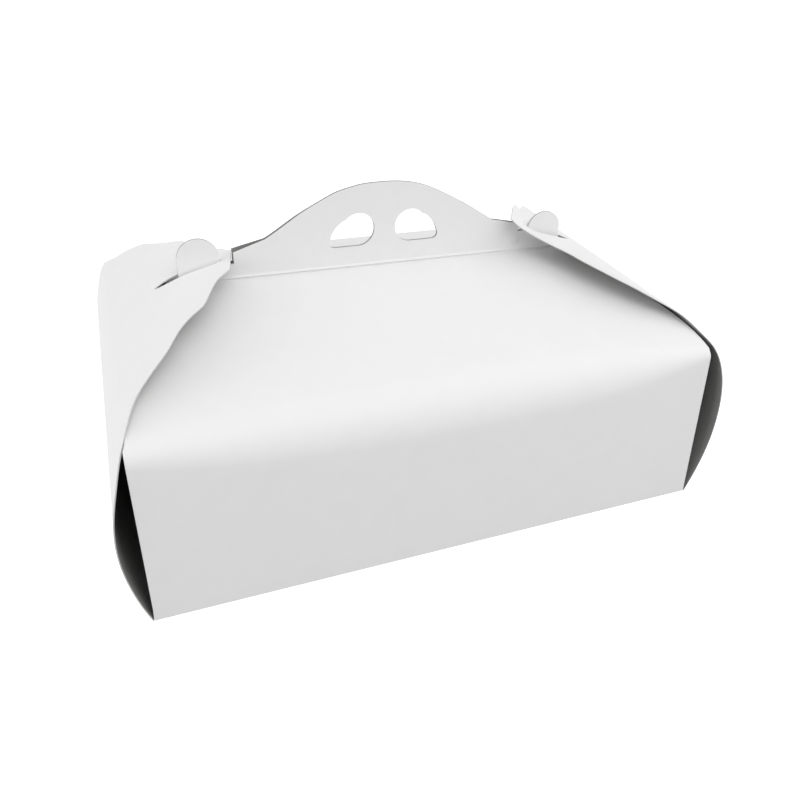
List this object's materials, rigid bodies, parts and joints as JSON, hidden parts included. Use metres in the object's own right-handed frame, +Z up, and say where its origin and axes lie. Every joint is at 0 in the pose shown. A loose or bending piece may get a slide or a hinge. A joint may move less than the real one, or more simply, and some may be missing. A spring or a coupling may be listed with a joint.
{
  "type": "cake box",
  "caption": "Folded white card carry box for cakes, with a ridge handle, finger holes and end flaps that hook over locking tabs.",
  "frame": {"origin": "middle of the underside of the base, on the surface the box stands on", "axes": "+X along the length towards the right end flap, +Y to the back wall, +Z up to the handle"},
  "size_m": [0.287, 0.207, 0.1438],
  "materials": {
    "card": "white coated card with a soft satin surface"
  },
  "bodies": {
    "carton": {"carton": "card"},
    "left_end_flap": {"left_end_flap": "card"},
    "right_end_flap": {"right_end_flap": "card"}
  },
  "joints": [
    {"name": "left_flap_hinge", "type": "hinge", "parent": "carton", "child": "left_end_flap", "pos_m": [-0.13545, 0, 0.00025], "axis": [0, -1, 0], "range_deg": [0, 65]},
    {"name": "right_flap_hinge", "type": "hinge", "parent": "carton", "child": "right_end_flap", "pos_m": [0.13545, 0, 0.00025], "axis": [0, 1, 0], "range_deg": [0, 65]}
  ]
}
